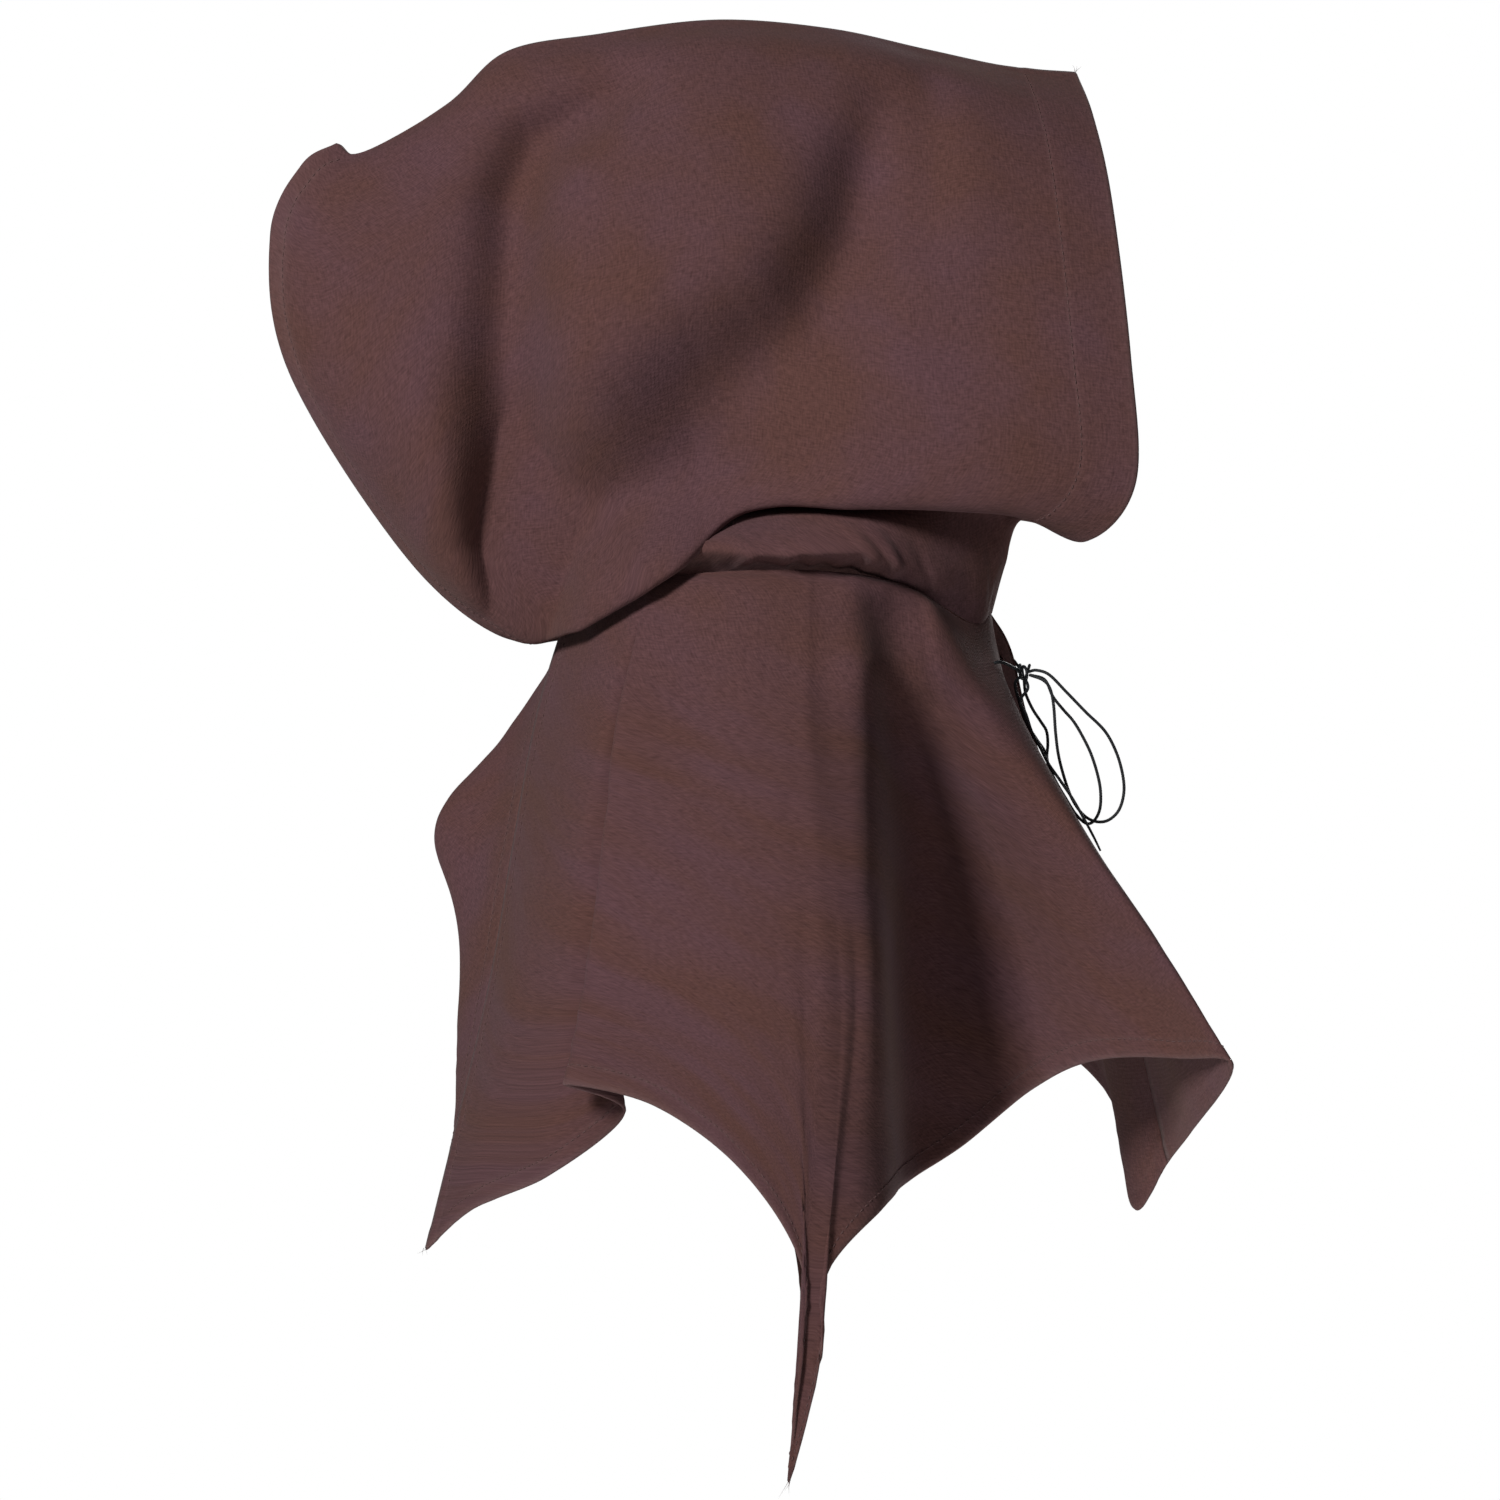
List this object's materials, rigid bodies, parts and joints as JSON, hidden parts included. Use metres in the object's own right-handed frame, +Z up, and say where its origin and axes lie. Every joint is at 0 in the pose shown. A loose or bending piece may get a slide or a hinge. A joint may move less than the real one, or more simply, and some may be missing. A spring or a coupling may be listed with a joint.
{
  "type": "canvas hood with dagged shoulder cape",
  "caption": "Brown canvas hood with a pointed back, a shoulder cape with long dagged points, and a thin black tie at the throat.",
  "frame": {"origin": "inside of the crown, where the hood sits on the head", "axes": "+Z up, +X towards the wearer's front, +Y towards the wearer's left"},
  "size_m": [0.4159, 0.3005, 0.6219],
  "materials": {
    "canvas": "matte plain weave",
    "tie_cord": "matte twisted cord"
  },
  "bodies": {
    "root": {"hood_panel_right": "canvas", "hood_panel_left": "canvas", "cape_panel_right": "canvas", "cape_panel_left": "canvas", "tie_lace": "tie_cord", "tie_knot": "tie_cord", "tie_loop_long": "tie_cord", "tie_loop_short": "tie_cord", "tie_tail_long": "tie_cord", "tie_tail_short": "tie_cord"}
  },
  "joints": []
}
